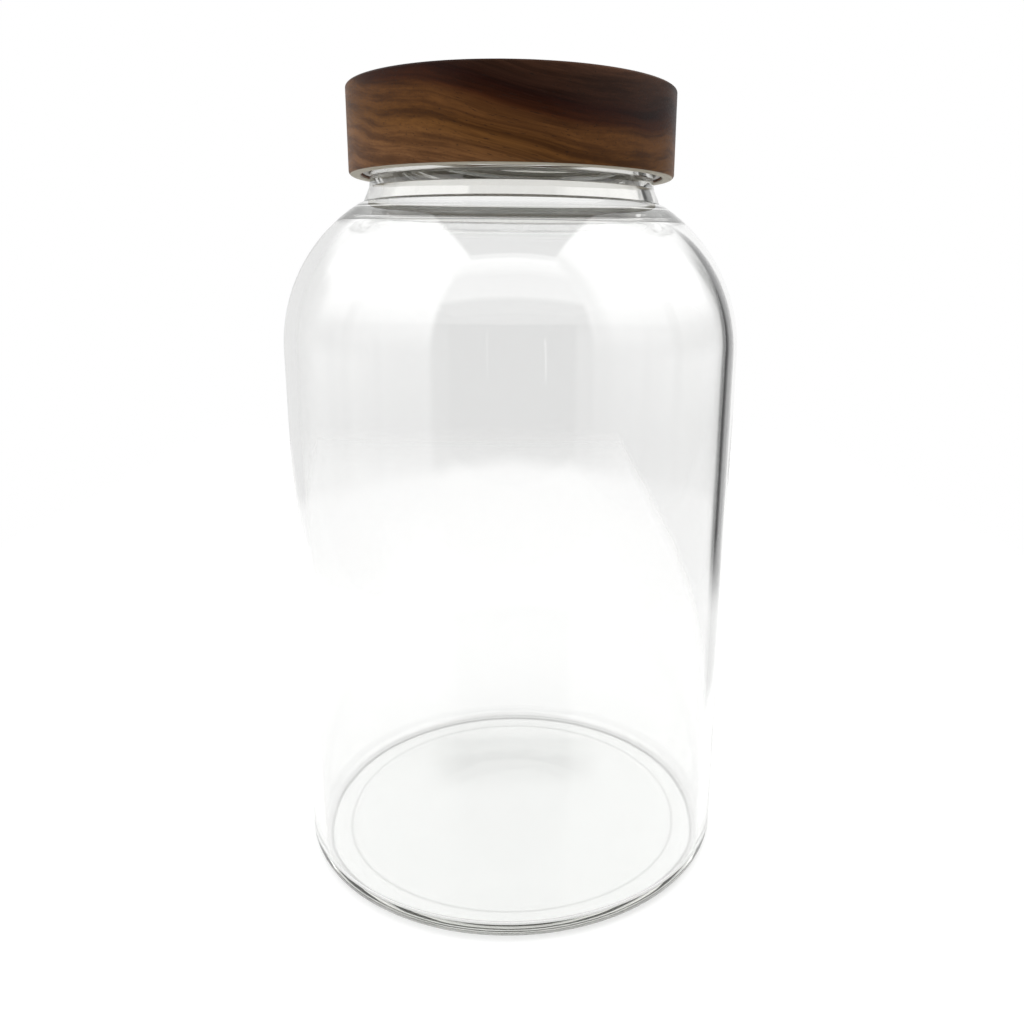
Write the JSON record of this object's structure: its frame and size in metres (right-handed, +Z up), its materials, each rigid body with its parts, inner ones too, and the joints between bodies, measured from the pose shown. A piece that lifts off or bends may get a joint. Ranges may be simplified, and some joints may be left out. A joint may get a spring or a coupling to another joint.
{
  "type": "screw-top jar",
  "caption": "Straight-sided clear glass storage jar with a round shoulder, a wide neck and a turned dark wood screw lid with a threaded insert and a sealing ring.",
  "frame": {"origin": "centre of the base, on the plane that the jar stands on", "axes": "+Z up along the jar's axis, towards the lid; +Y away from the viewer of the front, +X to the viewer's right"},
  "size_m": [0.1454, 0.1454, 0.2498],
  "materials": {
    "glass": "clear, smooth, fire-polished soda-lime glass",
    "walnut": "dark walnut, sanded and oiled to a satin sheen",
    "insert": "warm grey moulded polypropylene, satin",
    "seal": "translucent grey-white silicone, matt"
  },
  "bodies": {
    "jar": {"jar_body": "glass"},
    "seal": {"seal_ring": "seal"},
    "lid": {"lid_cap": "walnut", "thread_insert": "insert"}
  },
  "joints": [
    {"name": "lid_lift", "type": "slide", "parent": "jar", "child": "seal", "axis": [0, 0, 1], "range_m": [0, 0.02]},
    {"name": "lid_turn", "type": "hinge", "parent": "seal", "child": "lid", "pos_m": [0, 0, 0.241], "axis": [0, 0, 1], "range_deg": [0, 720]}
  ],
  "couplings": [
    {"joint": "lid_lift", "follows": "lid_turn", "m_per_rad": 0.0015915}
  ]
}
